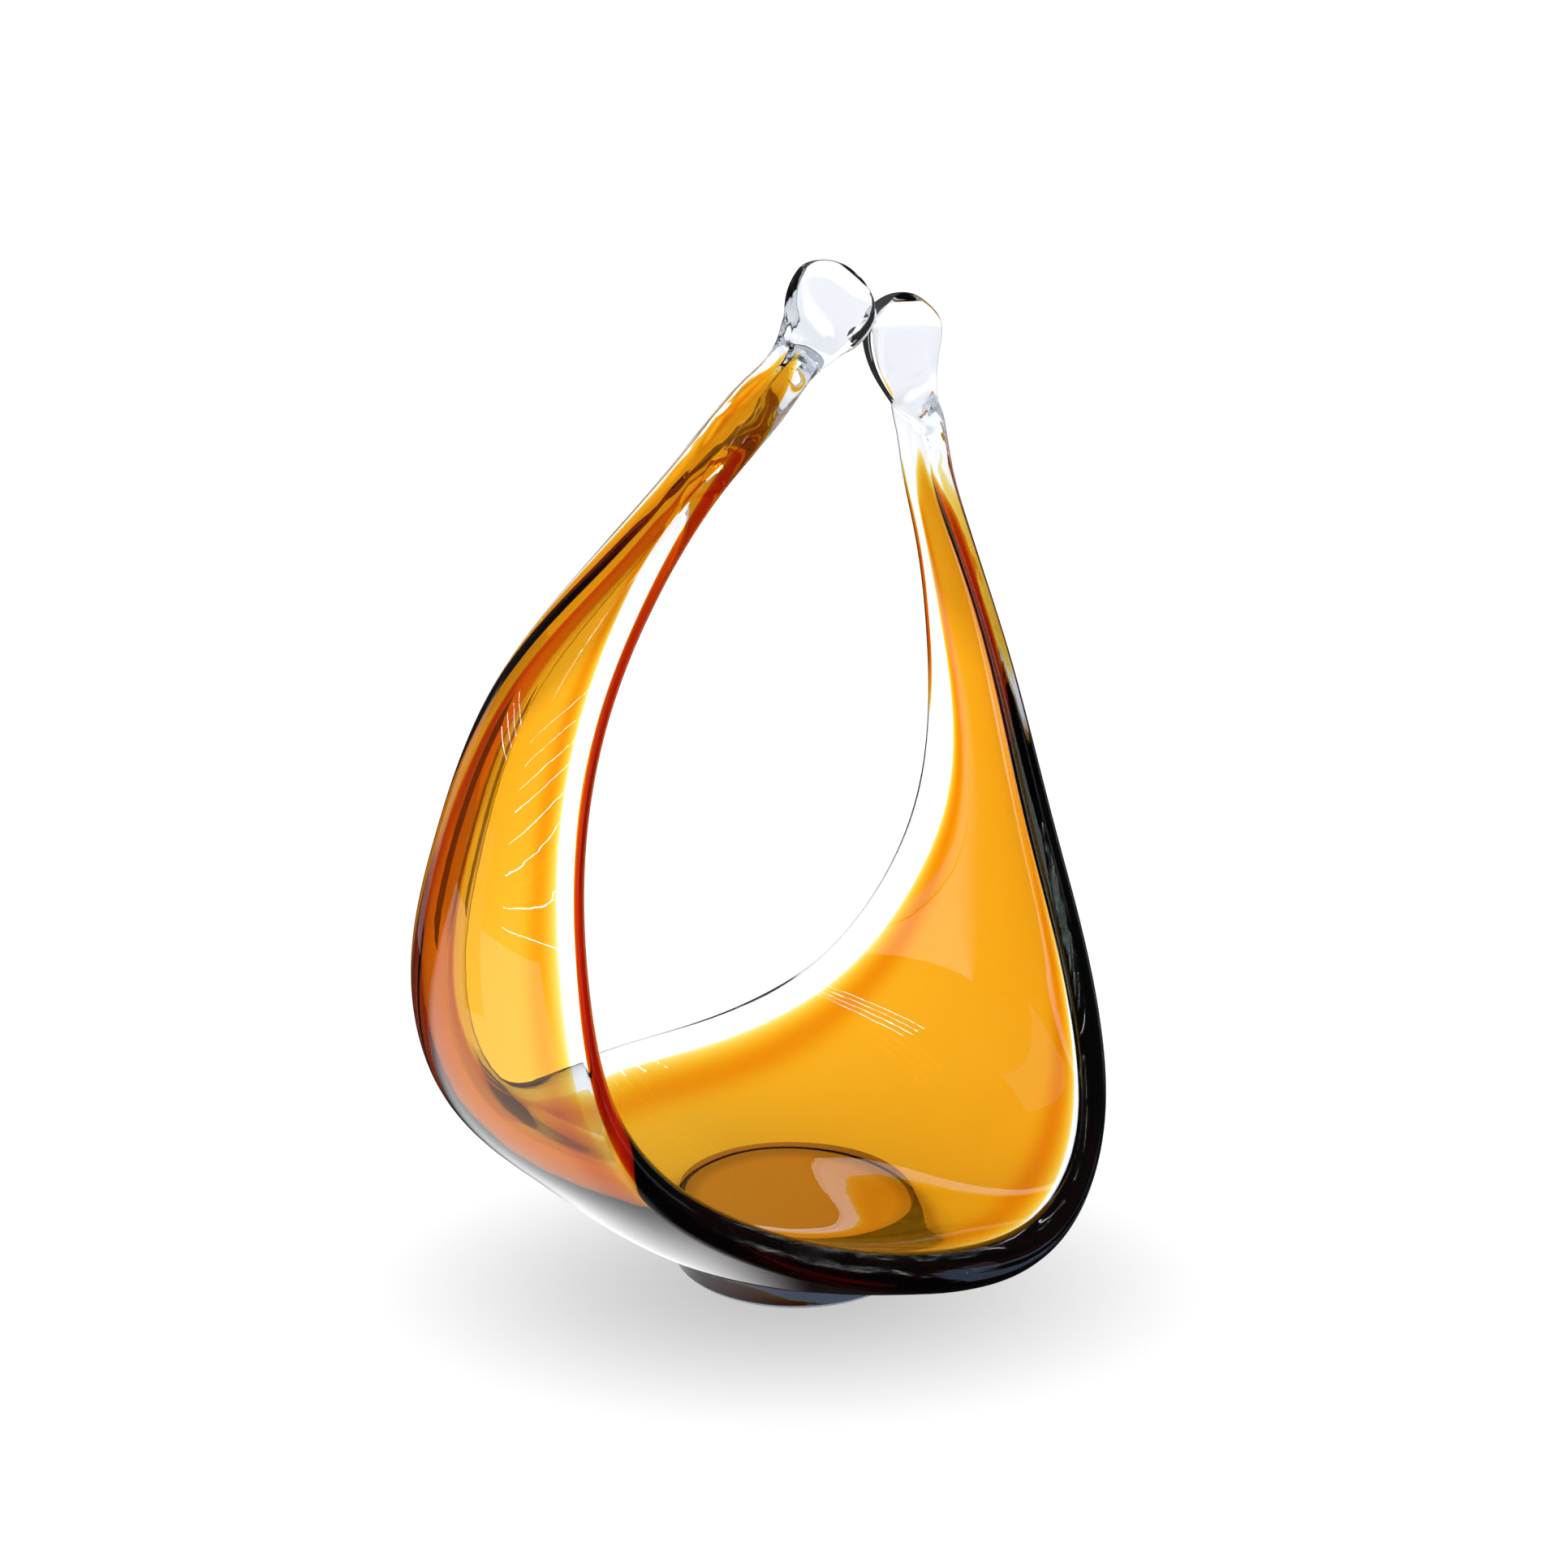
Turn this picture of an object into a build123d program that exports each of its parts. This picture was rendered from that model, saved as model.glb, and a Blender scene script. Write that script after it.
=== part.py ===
"""Art glass basket bowl: amber glass cased in clear glass, with two arms drawn up to touching knobs.

Millimetres, +Z up.  The origin is the centre of the foot, on the surface that the bowl stands on.
X runs from the left arm to the right arm, and Y runs across the mouth of the bowl.
"""

from build123d import *
from math import atan2, cos, sin
import os

# ---- driving dimensions -------------------------------------------------------------------------

# The wall follows an arch: down the left arm, through the bowl and up the right arm.
# One row is one cross-section of the wall, which spans Y:
# x and z of the rim line, half the width between the rims, how far the section bows outwards,
# and the wall's thickness at the rims and in the middle.
WALL_ROWS = (
    (3, 293, 4, 0.6, 12, 12),
    (-11, 282, 4, 0.6, 11, 12),
    (-32, 266, 5, 1, 10, 11),
    (-64, 238, 10, 4, 9, 10),
    (-91, 204, 18, 9.5, 9, 9),
    (-105, 163, 25, 14, 9, 9),
    (-109, 126, 32, 16.5, 10, 9),
    (-103, 91, 37, 14, 10, 9),
    (-84, 61, 47, 10.5, 11, 10),
    (-48, 40, 70, 14, 12, 15),
    (-4, 32, 88, 17, 13, 24),
    (35, 35, 82, 16, 12, 18),
    (63, 52, 65, 11.5, 11, 13),
    (77, 86, 44, 8.5, 10, 11),
    (78, 130, 25, 7, 9, 10),
    (69, 186, 14, 4, 7, 8),
    (57, 228, 8, 1.6, 7, 8),
    (51, 248, 6, 0.8, 8, 8),
    (48, 262, 5, 0.6, 9, 9),
)

CLEAR_BAND = 10.0           # clear glass left between the amber's edge and the rim
AMBER_SHARE = 0.3           # amber layer's thickness, as a share of the wall's, in the middle
AMBER_EDGE = 0.6            # the amber's thickness where it ends
LEAST_AMBER_SHARE = 0.45    # the least that the amber covers of a narrow section's half width
TONGUE_WIDTHS = (0.25, 0.5)     # the amber's width in its first two sections, as shares of the wall's

# The knobs carry on from the wall's two ends.  One row is x, y, z, half the width across Y,
# and half the width in the plane of the arch.  The last row is the knob's far end, a point.
LEFT_KNOB_ROWS = (
    (9, 1, 298, 9, 10.5),
    (15.5, 2, 303.5, 8.5, 14),
    (21.5, 2.5, 308, 7.5, 12),
    (25, 2.5, 312.5, 0, 0),
)
RIGHT_KNOB_ROWS = (
    (44, -0.5, 273, 7, 9),
    (39.5, -1.5, 284, 8, 13),
    (38.5, -2, 293, 8, 13),
    (39, -2, 300, 6, 8.5),
    (39.5, -2, 304.5, 0, 0),
)

FOOT_DIAMETER = 76.0
FOOT_HEIGHT = 14.0          # the foot is cut off by the bowl's underside below this height
FOOT_ROUNDING = 1.5

LIP_MARGIN = 3.0            # how far the dividing surface runs past the wall on all sides


# ---- the wall's cross-sections ------------------------------------------------------------------


class Station:
    """One cross-section of the wall: its plane and the arc down the middle of the wall.

    In the plane, the first coordinate is Y and the second points out of the bowl.
    """

    def __init__(self, row, before, after):
        self.x, self.z, self.half_width, self.bow, self.rim, self.middle = row
        run = Vector(after[0] - before[0], 0, after[1] - before[1])
        self.plane = Plane(origin=(self.x, 0, self.z), x_dir=(0, 1, 0), z_dir=-run)
        self.radius = (self.half_width**2 + self.bow**2) / (2 * self.bow)
        self.half_angle = atan2(self.half_width, self.radius - self.bow)

    def at(self, share, offset=0.0, past=0.0):
        """Point at a share (-1 to 1) of the middle arc, offset outwards and run on along it."""
        angle = share * self.half_angle
        reach = self.radius + offset
        along = past if share > 0 else -past
        u = reach * sin(angle) + along * cos(angle)
        v = reach * cos(angle) - along * sin(angle) - (self.radius - self.bow)
        return (u, v)

    def amber_share(self):
        """How much of the middle arc the amber covers."""
        half_length = self.radius * self.half_angle
        covered = half_length + self.rim / 2 - CLEAR_BAND
        return max(covered / half_length, LEAST_AMBER_SHARE)


def crescent(station, share, end, middle):
    """Closed outline: two bowed sides, `middle` apart at most, and a round edge `end` thick at each end."""
    with BuildSketch() as profile:
        with BuildLine():
            outer = (station.at(-share, end / 2), station.at(0, middle / 2), station.at(share, end / 2))
            inner = (station.at(share, -end / 2), station.at(0, -middle / 2), station.at(-share, -end / 2))
            ThreePointArc(*outer)
            ThreePointArc(outer[2], station.at(share, past=end / 2), inner[0])
            ThreePointArc(*inner)
            ThreePointArc(inner[2], station.at(-share, past=end / 2), outer[0])
        make_face()
    return profile.sketch


def outer_side(station):
    """Closed outline of all that lies outside the middle arc, with room to spare."""
    reach = station.rim / 2 + LIP_MARGIN
    far = station.bow + station.middle / 2 + 2 * LIP_MARGIN
    wide = station.half_width + station.rim + 2 * LIP_MARGIN
    with BuildSketch() as profile:
        with BuildLine():
            ThreePointArc(station.at(-1), station.at(0), station.at(1))
            Polyline(
                station.at(1),
                station.at(1, past=reach),
                (wide, far),
                (-wide, far),
                station.at(-1, past=reach),
                station.at(-1),
            )
        make_face()
    return profile.sketch


rows_before = WALL_ROWS[:1] + WALL_ROWS[:-1]
rows_after = WALL_ROWS[1:] + WALL_ROWS[-1:]
STATIONS = [Station(*rows) for rows in zip(WALL_ROWS, rows_before, rows_after)]

# ---- the clear glass and the amber in it ----------------------------------------------------------

with BuildPart() as whole_wall:
    for station in STATIONS:
        with BuildSketch(station.plane):
            add(crescent(station, 1, station.rim, station.middle))
    loft()

with BuildPart() as amber_layer:
    cored = STATIONS[1:-1]
    for i, station in enumerate(cored):
        from_end = min(i, len(cored) - 1 - i)
        share = station.amber_share()
        if from_end < len(TONGUE_WIDTHS):
            share = min(share, TONGUE_WIDTHS[from_end])
        with BuildSketch(station.plane):
            add(crescent(station, share, AMBER_EDGE, AMBER_SHARE * station.middle))
    loft()

with BuildPart() as outer_region:
    for station in STATIONS:
        with BuildSketch(station.plane):
            add(outer_side(station))
    loft()

with BuildPart() as outer_casing:
    add(whole_wall.part)
    add(outer_region.part, mode=Mode.INTERSECT)
    add(amber_layer.part, mode=Mode.SUBTRACT)

with BuildPart() as inner_lining:
    add(whole_wall.part)
    add(outer_region.part, mode=Mode.SUBTRACT)
    add(amber_layer.part, mode=Mode.SUBTRACT)

# ---- the knobs ----------------------------------------------------------------------------------


def oval(half_across, half_along):
    """Closed outline of four elliptical arcs, in step with the four sides of the wall's outline."""
    with BuildSketch() as profile:
        with BuildLine():
            for corner in (135, 45, -45, -135):
                EllipticalCenterArc((0, 0), half_across, half_along, corner, arc_size=-90)
        make_face()
    return profile.sketch


def knob_planes(start, rows):
    """Planes across a knob's run, one for each row but the last, each facing along the run."""
    places = [Vector(start.x, 0, start.z)] + [Vector(*row[:3]) for row in rows]
    turned = start.plane.z_dir.dot(places[1] - places[0]) < 0
    return [
        Plane(origin=here, x_dir=(0, 1, 0), z_dir=(before - after) if turned else (after - before))
        for before, here, after in zip(places, places[1:], places[2:])
    ]


with BuildPart() as left_knob:
    with BuildSketch(STATIONS[0].plane):
        add(crescent(STATIONS[0], 1, STATIONS[0].rim, STATIONS[0].middle))
    for plane, row in zip(knob_planes(STATIONS[0], LEFT_KNOB_ROWS), LEFT_KNOB_ROWS):
        with BuildSketch(plane):
            add(oval(row[3], row[4]))
    loft(left_knob.pending_faces + [Vertex(*LEFT_KNOB_ROWS[-1][:3])])

with BuildPart() as right_knob:
    with BuildSketch(STATIONS[-1].plane):
        add(crescent(STATIONS[-1], 1, STATIONS[-1].rim, STATIONS[-1].middle))
    for plane, row in zip(knob_planes(STATIONS[-1], RIGHT_KNOB_ROWS), RIGHT_KNOB_ROWS):
        with BuildSketch(plane):
            add(oval(row[3], row[4]))
    loft(right_knob.pending_faces + [Vertex(*RIGHT_KNOB_ROWS[-1][:3])])
    add(left_knob.part, mode=Mode.SUBTRACT)

# ---- the foot -----------------------------------------------------------------------------------

with BuildPart() as foot:
    with BuildSketch():
        Circle(FOOT_DIAMETER / 2)
    extrude(amount=FOOT_HEIGHT)
    fillet(foot.edges().group_by(Axis.Z)[0], FOOT_ROUNDING)
    add(whole_wall.part, mode=Mode.SUBTRACT)

# ---- the pieces ---------------------------------------------------------------------------------

pieces = {
    "inner_lining": inner_lining,
    "amber_layer": amber_layer,
    "outer_casing": outer_casing,
    "left_knob": left_knob,
    "right_knob": right_knob,
    "foot": foot,
}
os.makedirs("parts", exist_ok=True)
for name, piece in pieces.items():
    piece.part.label = name
    export_step(piece.part, f"parts/{name}.step")
    box = piece.part.bounding_box()
    print(name, round(piece.part.volume), len(piece.part.solids()), box.min, box.max)
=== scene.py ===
"""Looks of the art glass basket bowl: clear glass cased over an amber core, on a pale studio floor."""

from math import cos, pi, radians, sin

import bmesh
import bpy
import numpy as np
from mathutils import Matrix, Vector, noise


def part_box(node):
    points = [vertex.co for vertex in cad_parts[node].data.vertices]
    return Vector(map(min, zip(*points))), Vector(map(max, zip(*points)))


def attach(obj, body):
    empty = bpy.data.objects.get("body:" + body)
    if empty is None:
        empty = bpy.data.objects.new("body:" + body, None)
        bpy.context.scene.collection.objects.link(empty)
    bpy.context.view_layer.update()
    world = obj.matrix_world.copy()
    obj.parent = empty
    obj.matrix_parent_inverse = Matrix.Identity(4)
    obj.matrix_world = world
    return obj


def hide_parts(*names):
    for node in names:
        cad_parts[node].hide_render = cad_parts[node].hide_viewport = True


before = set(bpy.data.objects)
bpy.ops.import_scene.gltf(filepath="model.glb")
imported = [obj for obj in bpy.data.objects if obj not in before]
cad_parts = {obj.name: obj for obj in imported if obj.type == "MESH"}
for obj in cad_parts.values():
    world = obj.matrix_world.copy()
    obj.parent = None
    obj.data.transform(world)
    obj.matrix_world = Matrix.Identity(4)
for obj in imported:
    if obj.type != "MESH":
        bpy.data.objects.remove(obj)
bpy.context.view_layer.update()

MM = 0.001

# ---- shape of the glass, in millimetres -----------------------------------------------------------

# Cross-sections of the wall down the left arm, through the bowl and up the right arm:
# x and z of the rim line, half the width between the rims, outward bow, thickness at rim and middle.
WALL_ROWS = (
    (3, 293, 4, 0.6, 12, 12),
    (-11, 282, 4, 0.6, 11, 12),
    (-32, 266, 5, 1, 10, 11),
    (-64, 238, 10, 4, 9, 10),
    (-91, 204, 18, 11.5, 9, 9),
    (-105, 163, 25, 17, 9, 9),
    (-109, 126, 32, 20, 10, 9),
    (-103, 91, 37, 16.5, 10, 9),
    (-84, 61, 47, 8.5, 11, 10),
    (-48, 40, 70, 15, 12, 15),
    (-4, 32, 88, 17, 13, 24),
    (35, 35, 82, 16, 12, 18),
    (63, 52, 65, 11.5, 11, 13),
    (77, 86, 44, 8.5, 10, 11),
    (78, 130, 25, 7, 9, 10),
    (69, 186, 14, 4, 7, 8),
    (57, 228, 8, 1.6, 7, 8),
    (51, 248, 6, 0.8, 8, 8),
    (48, 262, 5, 0.6, 9, 9),
)
# The knobs' sections: x, y, z, half the width across Y, half the width in the plane of the arch.
LEFT_KNOB_ROWS = (
    (24, 2.5, 311.5, 7, 11),
    (20, 2.5, 308, 7.5, 12.8),
    (15, 2, 303.5, 7.5, 13.6),
    (9, 1, 298, 8.5, 11.3),
)
RIGHT_KNOB_ROWS = (
    (44, -0.5, 273, 7.5, 7.5),
    (40, -1.5, 284, 7.5, 10.5),
    (39, -2, 293, 7.5, 11.5),
    (39.5, -2, 303.5, 6.5, 9),
)
# The round foot.
FOOT_TOP = 12.5         # the blank reaches up into the wall, with which it is united
FOOT_EDGE = 1.5         # rounding of its lower edge
# The amber layer.
AMBER = 1.4             # its thickness
INWARDS = 1.1           # how far it lies from the middle of the wall towards the inside
BAND = 4                # clear glass beside it along the rims, at the necks and at the foot of the arms
BAND_BACK = 7           # how much wider that is along the back rim of the bowl
BAND_FRONT = 4          # and along the front rim of the left arm
BAND_BOWL = 2           # and beyond that along the front rim of the bowl
# The surface.
CAP = 9.0               # length over which a knob's end rounds off
SQUARENESS = 3.4        # exponent of a knob's oval section: 2 is an ellipse, more is squarer
TWIST = 26              # degrees by which each knob's flat face is turned towards the left
MARK_LEFT, MARK_RIGHT = 0.7, 0.6    # depth of the tool marks at the two necks

# ---- how finely the meshes are divided --------------------------------------------------------------

ACROSS = 47             # points across each side of the wall
ROUND = 11              # points round each rim
ALONG = 430             # rings between the two rounded ends of the arch
AMBER_ACROSS = 61       # points across each side of the amber
AMBER_ALONG = 421       # rings of the amber
BEAD_ALONG = 160        # rings of each bead

# ---- smooth curves through the rows ---------------------------------------------------------------


def spline(knots, values, at):
    """Natural cubic spline through values at knots: its values and slopes at the places `at`."""
    knots, values, at = (np.asarray(a, float) for a in (knots, values, at))
    n = len(knots)
    gap = np.diff(knots)
    matrix, right = np.eye(n), np.zeros(n)
    for i in range(1, n - 1):
        matrix[i, i - 1 : i + 2] = gap[i - 1], 2 * (gap[i - 1] + gap[i]), gap[i]
        right[i] = 6 * ((values[i + 1] - values[i]) / gap[i] - (values[i] - values[i - 1]) / gap[i - 1])
    bend = np.linalg.solve(matrix, right)
    i = np.clip(np.searchsorted(knots, at) - 1, 0, n - 2)
    to_go, gone, width = knots[i + 1] - at, at - knots[i], gap[i]
    low = values[i] / width - bend[i] * width / 6
    high = values[i + 1] / width - bend[i + 1] * width / 6
    value = (bend[i] * to_go**3 + bend[i + 1] * gone**3) / (6 * width) + low * to_go + high * gone
    slope = (bend[i + 1] * gone**2 - bend[i] * to_go**2) / (2 * width) - low + high
    return value, slope


def smooth(x, start, end):
    """0 before start, 1 after end, and a smooth rise between."""
    share = np.clip((np.asarray(x, float) - start) / (end - start), 0, 1)
    return share * share * (3 - 2 * share)


def knob_row(x, y, z, across, along):
    """A knob's row in the form of a whole row: its wall is a narrow one hidden in the oval."""
    return x, y, z, 2.0, 0.8, 2 * along, 2 * along, across, along, 1.0


def wall_row(x, z, w, bow, rim, mid):
    return x, 0.0, z, w, bow, rim, mid, w + rim / 2, mid / 2, 0.0


rows = [knob_row(*row) for row in LEFT_KNOB_ROWS]
rows += [wall_row(*row) for row in WALL_ROWS]
rows += [knob_row(*row) for row in RIGHT_KNOB_ROWS]
rows = np.array(rows, float)
steps = np.linalg.norm(np.diff(rows[:, [0, 2]], axis=0), axis=1)
RUN = np.concatenate([[0], np.cumsum(steps)])
LENGTH = RUN[-1]
FIRST_WALL, LAST_WALL = len(LEFT_KNOB_ROWS), len(LEFT_KNOB_ROWS) + len(WALL_ROWS) - 1
NECK_L, NECK_R = RUN[FIRST_WALL], RUN[LAST_WALL]


def sections(run):
    """Everything that describes the wall's sections at distances `run` along the arch."""
    x, dx = spline(RUN, rows[:, 0], run)
    z, dz = spline(RUN, rows[:, 2], run)
    speed = np.hypot(dx, dz)
    names = ("y", None, "w", "bow", "rim", "mid", "across", "along", "knob")
    s = {name: spline(RUN, rows[:, i + 1], run)[0] for i, name in enumerate(names) if name}
    s.update(x=x, z=z, nx=dz / speed, nz=-dx / speed, tx=dx / speed, tz=dz / speed)
    s["bow"] = np.maximum(s["bow"], 0.3)
    s["knob"] = np.clip(s["knob"], 0, 1)
    s["radius"] = (s["w"] ** 2 + s["bow"] ** 2) / (2 * s["bow"])
    s["angle"] = np.arctan2(s["w"], s["radius"] - s["bow"])
    return s


def middle_surface(s, v):
    """Place (y, outwards) and direction (y, outwards) on the middle of the wall, v from -1 to 1."""
    a = s["angle"] * v
    return s["radius"] * np.sin(a), s["radius"] * np.cos(a) - s["radius"] + s["bow"], np.sin(a), np.cos(a)


def to_space(s, y, out):
    return np.stack([s["x"] + s["nx"] * out, s["y"] + y, s["z"] + s["nz"] * out], -1)


# ---- closed meshes --------------------------------------------------------------------------------


def mesh_piece(name, points, faces, material):
    mesh = bpy.data.meshes.new(name)
    mesh.from_pydata([tuple(p) for p in points], [], faces)
    mesh.update()
    piece = bpy.data.objects.new(name, mesh)
    bpy.context.scene.collection.objects.link(piece)
    mesh.materials.append(material)
    for polygon in mesh.polygons:
        polygon.use_smooth = True
    return piece


def tube(name, rings, material, tips=None):
    """Closed mesh through rings of points, with its two ends shut by a fan to each tip."""
    n, m = rings.shape[:2]
    points = list(rings.reshape(-1, 3) * MM)
    faces = [
        (i * m + j, i * m + (j + 1) % m, (i + 1) * m + (j + 1) % m, (i + 1) * m + j)
        for i in range(n - 1)
        for j in range(m)
    ]
    tips = tips if tips is not None else (rings[0].mean(0), rings[-1].mean(0))
    points += [tips[0] * MM, tips[1] * MM]
    faces += [(n * m, (j + 1) % m, j) for j in range(m)]
    faces += [(n * m + 1, (n - 1) * m + j, (n - 1) * m + (j + 1) % m) for j in range(m)]
    piece = mesh_piece(name, points, faces, material)
    work = bmesh.new()
    work.from_mesh(piece.data)
    bmesh.ops.recalc_face_normals(work, faces=work.faces)
    work.to_mesh(piece.data)
    work.free()
    return piece


# ---- materials ------------------------------------------------------------------------------------


class Nodes:
    """Short ways to add nodes to the tree of a material or world, and to join them."""

    def __init__(self, owner):
        owner.use_nodes = True
        self.tree = owner.node_tree

    def __getitem__(self, name):
        return self.tree.nodes[name]

    def put(self, socket, value):
        """Join another node's output to this input, or give it a plain value."""
        if isinstance(value, bpy.types.NodeSocket):
            self.tree.links.new(value, socket)
        else:
            socket.default_value = value

    def fill(self, node, **inputs):
        for name, value in inputs.items():
            self.put(node.inputs[name.replace("_", " ")], value)
        return node

    def add(self, kind, **inputs):
        return self.fill(self.tree.nodes.new("ShaderNode" + kind), **inputs)

    def math(self, operation, *operands, clamp=False):
        node = self.add("Math")
        node.operation = operation
        node.use_clamp = clamp
        for socket, operand in zip(node.inputs, operands):
            self.put(socket, operand)
        return node.outputs[0]

    def measure(self, operation, *vectors):
        """A length, a distance or a dot product."""
        node = self.add("VectorMath")
        node.operation = operation
        for socket, vector in zip(node.inputs, vectors):
            self.put(socket, vector)
        return node.outputs["Value"]

    def rise(self, value, start, end):
        """0 before start, 1 after end, and a smooth rise between."""
        node = self.add("MapRange", Value=value, From_Min=start, From_Max=end)
        node.interpolation_type = "SMOOTHSTEP"
        return node.outputs["Result"]

    def ramp(self, value, stops, interpolation="LINEAR"):
        """The colour at value, from stops of (position, colour) in rising order."""
        node = self.add("ValToRGB", Fac=value)
        node.color_ramp.interpolation = interpolation
        elements = node.color_ramp.elements
        first, *between, last = stops
        for element, (position, color) in ((elements[0], first), (elements[1], last)):
            element.position = position
            element.color = (*color, 1)
        for position, color in between:
            elements.new(position).color = (*color, 1)
        return node.outputs["Color"]

    def mix(self, share, first, second):
        node = self.add("MixShader")
        for socket, value in zip(node.inputs, (share, first, second)):
            self.put(socket, value)
        return node.outputs[0]

    def glow(self, color, strength):
        return self.add("Emission", Color=color, Strength=strength).outputs[0]


def new_material(name):
    material = bpy.data.materials.new(name)
    return material, Nodes(material)


def glass(name, ior, color, density):
    """Smooth clear glass whose colour deepens with its thickness."""
    material, nodes = new_material(name)
    shader = nodes["Principled BSDF"]
    nodes.fill(shader, Base_Color=(1, 1, 1, 1), Transmission_Weight=1, Roughness=0, IOR=ior)
    volume = nodes.add("VolumeAbsorption", Color=(*color, 1), Density=density)
    nodes.put(nodes["Material Output"].inputs["Volume"], volume.outputs[0])
    return material, nodes, shader


clear, nodes, shader = glass("clear_glass", 1.5, (0.50, 0.54, 0.60), 40)
# Fire-polished glass is never quite flat.
place = nodes.add("TexCoord").outputs["Object"]
ripple = nodes.add("TexNoise", Vector=place, Scale=90, Detail=2).outputs["Fac"]
bump = nodes.add("Bump", Strength=0.06, Distance=0.0006, Height=ripple).outputs["Normal"]
nodes.fill(shader, Normal=bump)
# The amber lies inside the clear glass and bends no light of its own: it only colours it.
amber = glass("amber_glass", 1.0, (0.956, 0.784, 0.03), 3100)[0]

# ---- the clear glass: wall, arms and knobs in one run of rings -------------------------------------

rounding = CAP * (1 - np.cos(np.linspace(0.02, pi / 2, 14)))
run = np.concatenate([rounding[:-1], np.linspace(CAP, LENGTH - CAP, ALONG), (LENGTH - rounding[::-1])[1:]])
s = sections(run)
cap = np.ones_like(run)
near = run < CAP
cap[near] = np.sqrt(1 - ((CAP - run[near]) / CAP) ** 2)
far = run > LENGTH - CAP
cap[far] = np.sqrt(1 - ((run[far] - LENGTH + CAP) / CAP) ** 2)
v = np.sin(np.linspace(-pi / 2, pi / 2, ACROSS))
turn = np.linspace(0, pi, ROUND + 2)[1:-1]


def one_section(s, i):
    return {key: value[i] for key, value in s.items()}


def wall_ring(one):
    """The wall's section as a ring: along the outside, round a rim, back inside, round the other rim."""
    y, out, dy, dout = middle_surface(one, v)
    half = (one["rim"] + (one["mid"] - one["rim"]) * np.cos(pi / 2 * v) ** 2) / 2
    outside = np.stack([y + dy * half, out + dout * half], -1)
    inside = np.stack([y - dy * half, out - dout * half], -1)
    r = one["rim"] / 2
    rims = {}
    for side in (-1, 1):
        y, out, dy, dout = middle_surface(one, side)
        across = y + r * (np.cos(turn) * dy + np.sin(turn) * side * dout)
        outwards = out + r * (np.cos(turn) * dout - np.sin(turn) * side * dy)
        rims[side] = np.stack([across, outwards], -1)
    return np.vstack([outside, rims[1], inside[::-1], rims[-1][::-1]])


def knob_ring(one, ring):
    """The same points moved on to a knob's flattened oval."""
    angle = np.arctan2(ring[:, 1] / one["along"], ring[:, 0] / one["across"])
    bulge = np.abs(np.cos(angle)) ** SQUARENESS + np.abs(np.sin(angle)) ** SQUARENESS
    reach = bulge ** (-1 / SQUARENESS)
    return np.stack([one["across"] * reach * np.cos(angle), one["along"] * reach * np.sin(angle)], -1)


rings = []
for i in range(len(run)):
    one = one_section(s, i)
    ring = wall_ring(one)
    share = smooth(one["knob"], 0, 1)
    ring = ((1 - share) * ring + share * knob_ring(one, ring)) * cap[i]
    twist = radians(TWIST) * share * (1 if run[i] < LENGTH / 2 else -1)
    ring = ring @ np.array([[cos(twist), -sin(twist)], [sin(twist), cos(twist)]])
    rings.append(to_space(one, ring[:, 0], ring[:, 1]))
rings = np.array(rings)


def tooled(run):
    """How strongly the tools and the pull of the hot glass marked the surface at each neck."""
    left = smooth(run, 20, 36) * (1 - smooth(run, NECK_L + 42, NECK_L + 80))
    right = smooth(run, NECK_R - 22, NECK_R) * (1 - smooth(run, LENGTH - 40, LENGTH - 26))
    return left, right


left, right = tooled(run)
centre = rings.mean(1, keepdims=True)
for i in range(len(run)):
    if left[i] + right[i] == 0:
        continue
    for j in range(rings.shape[1]):
        p = rings[i, j]
        away = Vector(p - centre[i, 0]).normalized()
        # the marks are drawn out along the arm, and die out towards its smooth front and back
        front = abs(away.y)
        q = Vector((p[0] * 0.13, p[1] * 0.30, p[2] * 0.13))
        mark = noise.noise(q) + 0.5 * noise.noise(q * 2.3 + Vector((7, 3, 1)))
        depth = (MARK_LEFT * left[i] + MARK_RIGHT * right[i]) * (1 - 0.95 * front**0.8)
        rings[i, j] = p + np.array(away) * mark * depth

body = tube("clear_glass_body", rings, clear)

# ---- the foot is united with the underside ---------------------------------------------------------

low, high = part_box("foot")
FOOT_RADIUS = (high.x - low.x) / 2 / MM
bend = np.linspace(0, pi / 2, 8)
profile = [(FOOT_RADIUS - FOOT_EDGE + FOOT_EDGE * sin(b), FOOT_EDGE - FOOT_EDGE * cos(b)) for b in bend]
profile += [(FOOT_RADIUS, h) for h in np.linspace(FOOT_EDGE, FOOT_TOP, 6)[1:]]
turns = np.linspace(0, 2 * pi, 161)[:-1]
foot_rings = np.array([[(r * cos(a), r * sin(a), h) for a in turns] for r, h in profile])
foot = tube("foot_blank", foot_rings, clear)
union = body.modifiers.new("foot", "BOOLEAN")
union.operation = "UNION"
union.object = foot
union.solver = "EXACT"
bpy.context.view_layer.update()
merged = bpy.data.meshes.new_from_object(body.evaluated_get(bpy.context.evaluated_depsgraph_get()))
body.modifiers.clear()
body.data = merged
bpy.data.objects.remove(foot)
for polygon in merged.polygons:
    polygon.use_smooth = True
merged.set_sharp_from_angle(angle=radians(38))

# ---- the amber core --------------------------------------------------------------------------------

cross = np.sin(np.linspace(-pi / 2, pi / 2, AMBER_ACROSS))
along = 0.5 - 0.5 * np.cos(np.linspace(0, pi, AMBER_ALONG))
along = 0.5 * along + 0.5 * np.linspace(0, 1, AMBER_ALONG)


def tongue_start(c):
    """Where the amber begins on the left arm: a fork of two tongues."""
    return NECK_L + 1 + 16 * np.abs(c) ** 3 + 9 * np.exp(-(((c - 0.1) / 0.2) ** 2))


def tongue_end(c):
    """Where it ends on the right arm: one rounded tongue."""
    return NECK_R - 8 - 22 * c**2


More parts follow.
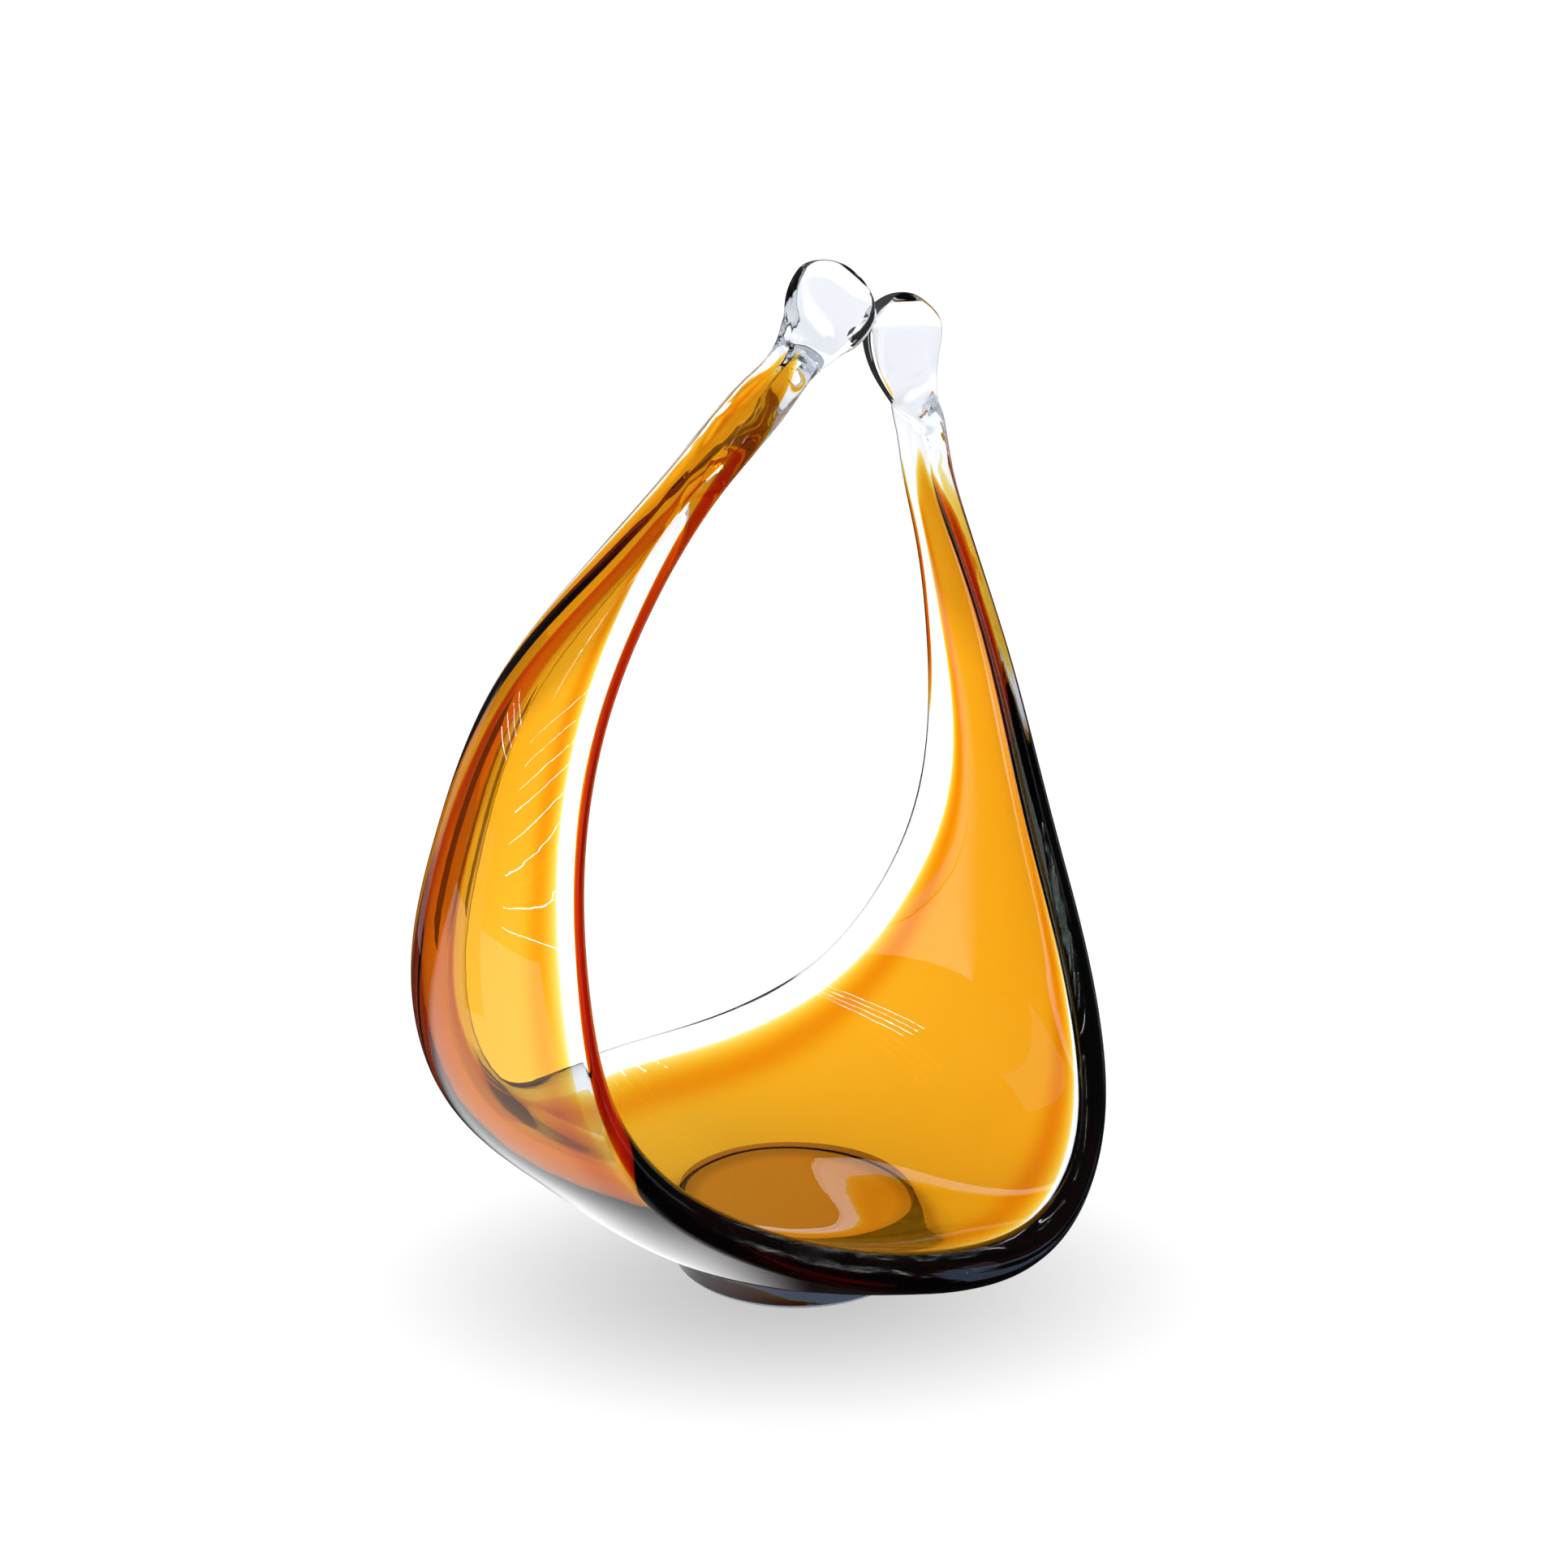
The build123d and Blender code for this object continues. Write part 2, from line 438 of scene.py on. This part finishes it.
def clear_band(run, c):
    """Width of the clear glass left along the rims, c from -1 at the front rim to 1 at the back rim."""
    back = BAND_BACK * smooth(run, NECK_L + 50, NECK_L + 150)
    back = BAND + back * (1 - smooth(run, NECK_R - 150, NECK_R - 40))
    front = BAND_FRONT * smooth(run, NECK_L + 20, NECK_L + 90)
    front = front + BAND_BOWL * smooth(run, NECK_L + 180, NECK_L + 320)
    front = BAND + front * (1 - smooth(run, NECK_R - 220, NECK_R - 60))
    return front + (back - front) * smooth(c, -0.3, 0.3)


def between_the_necks(place):
    """1 along the arch, falling to 0 over the last 60 mm before each neck."""
    return smooth(place, NECK_L, NECK_L + 60) * (1 - smooth(place, NECK_R - 60, NECK_R))


def in_the_bowl(place):
    return smooth(place, NECK_L + 130, NECK_L + 250) * (1 - smooth(place, NECK_R - 330, NECK_R - 230))


top, bottom = [], []
for a in along:
    start, end = tongue_start(cross), tongue_end(cross)
    place = start + (end - start) * a
    s = sections(place)
    half_length = s["radius"] * s["angle"]
    reach = (half_length + s["rim"] / 2 - clear_band(place, cross)) / half_length
    y, out, dy, dout = middle_surface(s, cross * reach)
    # thicker in a welt beside each rounded edge, feathered at the two ends, thinner in the bowl
    edge = (1 - cross**10) ** 0.5 * (1 + 0.6 * np.exp(-(((np.abs(cross) - 0.84) / 0.1) ** 2)))
    ends = np.sqrt(smooth(a * LENGTH, 0, 12) * smooth((1 - a) * LENGTH, 0, 16))
    drawn = 1 - 0.3 * in_the_bowl(place)
    half = AMBER / 2 * drawn * edge * ends + 0.01
    off = -INWARDS * between_the_necks(place) * (1 - cross**4)
    top.append(to_space(s, y + dy * (off + half), out + dout * (off + half)))
    bottom.append(to_space(s, y + dy * (off - half), out + dout * (off - half)))
top, bottom = np.array(top), np.array(bottom)
rings = np.concatenate([top, bottom[:, ::-1]], 1)
core = tube("amber_core", rings, amber)


def bead(name, side, start, end, thickness, width, spread):
    """Amber drawn out along a rim, where the layer was folded as the arm was pulled.

    Thickness and width are shares of the rim's thickness, and spread is 1 for a bead that widens below.
    """
    place = np.linspace(start, end, BEAD_ALONG)
    s = sections(place)
    y, out, dy, dout = middle_surface(s, side)
    taper = np.sqrt(smooth(place, start, start + 30) * (1 - smooth(place, end - 50, end))) + 0.02
    lower = spread * smooth(place, start + 170, start + 280)
    turns = np.linspace(0, 2 * pi, 17)[:-1]
    rings = []
    for i in range(len(place)):
        one = one_section(s, i)
        shift = (0.26 - 0.1 * lower[i]) * one["rim"]
        through = thickness / 2 * one["rim"] * taper[i] * np.cos(turns)
        beyond = shift + (width + 0.26 * lower[i]) / 2 * one["rim"] * taper[i] * np.sin(turns)
        across = y[i] + dy[i] * through + side * dout[i] * beyond
        rings.append(to_space(one, across, out[i] + dout[i] * through - side * dy[i] * beyond))
    return tube(name, np.array(rings), amber)


left_bead = bead("left_bead", -1, NECK_L + 20, NECK_L + 350, 0.76, 0.3, 1)
right_bead = bead("right_bead", 1, NECK_R - 110, NECK_R - 12, 0.6, 0.14, 0)
work = bmesh.new()
for piece in (core, left_bead, right_bead):
    work.from_mesh(piece.data)
    if piece is not core:
        bpy.data.objects.remove(piece)
work.to_mesh(core.data)
work.free()
for polygon in core.data.polygons:
    polygon.use_smooth = True

# ---- what stands for what ---------------------------------------------------------------------------

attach(body, "root")
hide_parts("inner_lining", "outer_casing", "left_knob", "right_knob", "foot")
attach(core, "root")
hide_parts("amber_layer")

# ---- the floor ---------------------------------------------------------------------------------------

scene = bpy.context.scene
FLOOR = -0.0003         # a hair under the foot, so that the two surfaces don't coincide
FLOOR_REACH = 9
VIEW_AZIMUTH = radians(-40)
VIEW_ELEVATION = radians(22)
RIGHT = (0.766, -0.643, 0)      # on the floor, to the right as the camera sees it
AWAY = (0.643, 0.766, 0)        # on the floor, away from the camera
# The next spot is the centre of the floor patch that glows only in mirrored rays, a painted sheen in the
# underside of the left arm.
SHEEN_SPOT = (-0.1, 0.03, 0)     # the spot that mirrors in the underside of the left arm

paint, nodes = new_material("floor_paint")
principled = nodes.fill(
    nodes["Principled BSDF"], Base_Color=(0.93, 0.93, 0.935, 1), Roughness=0.8, Specular_IOR_Level=0.1
).outputs[0]
dark = nodes.add("BsdfDiffuse", Color=(0.02, 0.02, 0.02, 1)).outputs[0]
place = nodes.add("TexCoord").outputs["Object"]
path = nodes.add("LightPath").outputs
from_middle = nodes.measure("LENGTH", place)
mirrored = nodes.math("SUBTRACT", path["Is Glossy Ray"], path["Is Transmission Ray"], clamp=True)
# Mirrored in the outside of the glass the floor glows pale under the left arm and on the left, a painted
# sheen on the glass, and is painted dark elsewhere.
sheen_glow = nodes.mix(mirrored, principled, nodes.glow((1, 1, 1, 1), 1.5))
off_spot = nodes.rise(nodes.measure("DISTANCE", place, SHEEN_SPOT), 0.055, 0.1)
off_left = nodes.rise(nodes.measure("DOT_PRODUCT", place, RIGHT), -0.1, -0.04)
behind = nodes.rise(nodes.measure("DOT_PRODUCT", place, AWAY), 0.0, 0.06)
darkness = nodes.math("MAXIMUM", nodes.math("MINIMUM", off_spot, off_left), behind)
gloss = nodes.mix(nodes.math("MULTIPLY", darkness, mirrored), sheen_glow, dark)
# Seen through the glass the floor glows, a painted light, with a painted contact shadow of the foot under
# it, darker and warmer, a painted dark ring at the foot's edge, and greyer beyond half a metre.
painted_through_glass = nodes.ramp(
    from_middle,
    (
        (0.0, (0.85, 0.62, 0.6)),
        (0.0345, (0.85, 0.6, 0.6)),
        (0.0365, (0.12, 0.06, 0.04)),
        (0.0385, (0.4, 0.28, 0.2)),
        (0.044, (1, 1, 1)),
        (0.55, (1, 1, 1)),
        (0.70, (0.74, 0.745, 0.76)),
        (1.0, (0.74, 0.745, 0.76)),
    ),
)
through = nodes.math("MULTIPLY", path["Is Transmission Ray"], 0.85)
surface = nodes.mix(through, gloss, nodes.glow(painted_through_glass, 1.72))
nodes.put(nodes["Material Output"].inputs["Surface"], surface)
corners = [(x * FLOOR_REACH, y * FLOOR_REACH, FLOOR) for x, y in ((-1, -1), (1, -1), (1, 1), (-1, 1))]
floor = mesh_piece("floor", corners, [(0, 1, 2, 3)], paint)

# ---- the light ---------------------------------------------------------------------------------------

# The studio: white to the eye and to the floor, a pale tent through the glass, a dark room in its gloss.
world = bpy.data.worlds.new("studio")
scene.world = world
nodes = Nodes(world)
path = nodes.add("LightPath").outputs
white = nodes.add("Background", Color=(1, 1, 1, 1), Strength=1.27).outputs[0]
room = nodes.add("Background", Color=(0.9, 0.95, 1, 1), Strength=0.05).outputs[0]
direction = nodes.add("SeparateXYZ", Vector=nodes.add("TexCoord").outputs["Generated"])
height = nodes.math("MULTIPLY_ADD", direction.outputs["Z"], 0.5, 0.5)
shades = nodes.ramp(height, ((0.62, (1, 1, 1)), (0.9, (0.7, 0.71, 0.73))))
tent = nodes.add("Background", Color=shades, Strength=1.6).outputs[0]
surface = nodes.mix(path["Is Transmission Ray"], nodes.mix(path["Is Glossy Ray"], white, room), tent)
nodes.put(nodes["World Output"].inputs["Surface"], surface)

# Grey cards stand just outside the picture and show only in the glass, as dark edges.
CARD_OFFSETS = (58, 122, -58, -122)     # degrees round from behind the bowl
CARD_DISTANCE, CARD_HALF_WIDTH, CARD_HEIGHT = 0.42, 0.05, Vector((0, 0, 0.24))
grey, nodes = new_material("grey_card")
nodes.fill(nodes["Principled BSDF"], Base_Color=(0.30, 0.30, 0.31, 1), Roughness=1)
for i, offset in enumerate(CARD_OFFSETS):
    a = VIEW_AZIMUTH + pi + radians(offset)
    middle = Vector((sin(a), -cos(a), 0)) * CARD_DISTANCE
    side = Vector((cos(a), sin(a), 0)) * CARD_HALF_WIDTH
    corners = [middle - side, middle + side, middle + side + CARD_HEIGHT, middle - side + CARD_HEIGHT]
    card = mesh_piece(f"card_{i}", corners, [(0, 1, 2, 3)], grey)
    card.visible_camera = False
    card.visible_diffuse = False
    card.visible_shadow = False

# A grey net over the bowl, seen only by light that reaches the floor, paints the soft neutral shadow; the
# glass itself casts none on the floor.
shadow_net, nodes = new_material("shadow_net")
nodes.tree.nodes.remove(nodes["Principled BSDF"])
from_centre = nodes.measure("LENGTH", nodes.add("TexCoord").outputs["Object"])
thin = nodes.ramp(from_centre, ((0.0, (0.34, 0.34, 0.34)), (1.0, (1, 1, 1))), "EASE")
hole = nodes.add("BsdfTransparent", Color=thin).outputs[0]
nodes.put(nodes["Material Output"].inputs["Surface"], hole)
disc = [(cos(a), sin(a), 0) for a in np.linspace(0, 2 * pi, 65)[:-1]]
shade = mesh_piece("shadow_net", disc, [tuple(range(len(disc)))], shadow_net)
shade.location = (-0.015, -0.015, 0.03)
shade.scale = (0.185, 0.12, 1)
shade.rotation_euler = (0, 0, VIEW_AZIMUTH)
shade.visible_camera = False
shade.visible_glossy = False
shade.visible_transmission = False
body.visible_diffuse = False
core.visible_diffuse = False


def strip_light(name, place, target, length, width, energy):
    lamp = bpy.data.lights.new(name, "AREA")
    lamp.shape = "RECTANGLE"
    lamp.size = length
    lamp.size_y = width
    lamp.energy = energy
    light = bpy.data.objects.new(name, lamp)
    scene.collection.objects.link(light)
    light.location = place
    light.rotation_euler = (Vector(target) - Vector(place)).to_track_quat("-Z", "Y").to_euler()
    light.visible_diffuse = False
    light.visible_camera = False


STRIP_DISTANCE = 1.1


def row_of_strips(name, azimuth, climbs, length, width, energy):
    """Level strips one above the other, azimuth degrees round from the front, each at its own climb."""
    for i, climb in enumerate(climbs):
        a, e = radians(azimuth), radians(climb)
        spot = Vector((sin(a) * cos(e), -cos(a) * cos(e), sin(e))) * STRIP_DISTANCE + Vector((0, 0, 0.1))
        strip_light(f"{name}_{i}", spot, (0, 0, 0.12), length, width, energy)


# The thin bright lines in the glass are strip lights, overhead and on three sides.
for i, x in enumerate((-0.45, -0.37, 0.05, 0.13)):
    strip_light(f"strip_{i}", (x, -0.3, 1.15), (x, -0.3, 0), 1.2, 0.004, 0.6)
row_of_strips("front_strip", -40, (5, 9, 13, 17, 22, 27, 33, 40), 1.5, 0.002, 0.4)
row_of_strips("back_strip", -118, (26, 29, 32, 35), 0.5, 0.003, 0.2)
row_of_strips("side_strip", 98, (38, 43, 49), 0.8, 0.003, 0.32)

# ---- the camera --------------------------------------------------------------------------------------

SIGHT = Vector((-0.0046, 0, 0.1589))    # the point looked at
DISTANCE = 1.4
VIEW_WIDTH = 0.469476                   # metres across the picture at that point
SENSOR = 36
level = cos(VIEW_ELEVATION)
back = Vector((sin(VIEW_AZIMUTH) * level, -cos(VIEW_AZIMUTH) * level, sin(VIEW_ELEVATION)))
camera = bpy.data.cameras.new("camera")
camera.sensor_width = SENSOR
camera.lens = SENSOR / VIEW_WIDTH * DISTANCE
eye = bpy.data.objects.new("camera", camera)
scene.collection.objects.link(eye)
eye.location = SIGHT + back * DISTANCE
eye.rotation_euler = (-back).to_track_quat("-Z", "Y").to_euler()
scene.camera = eye

scene.view_settings.view_transform = "Standard"
# Light crosses many glass surfaces before it leaves the bowl.
scene.cycles.max_bounces = 40
scene.cycles.transmission_bounces = 40
scene.cycles.glossy_bounces = 24
scene.cycles.transparent_max_bounces = 40
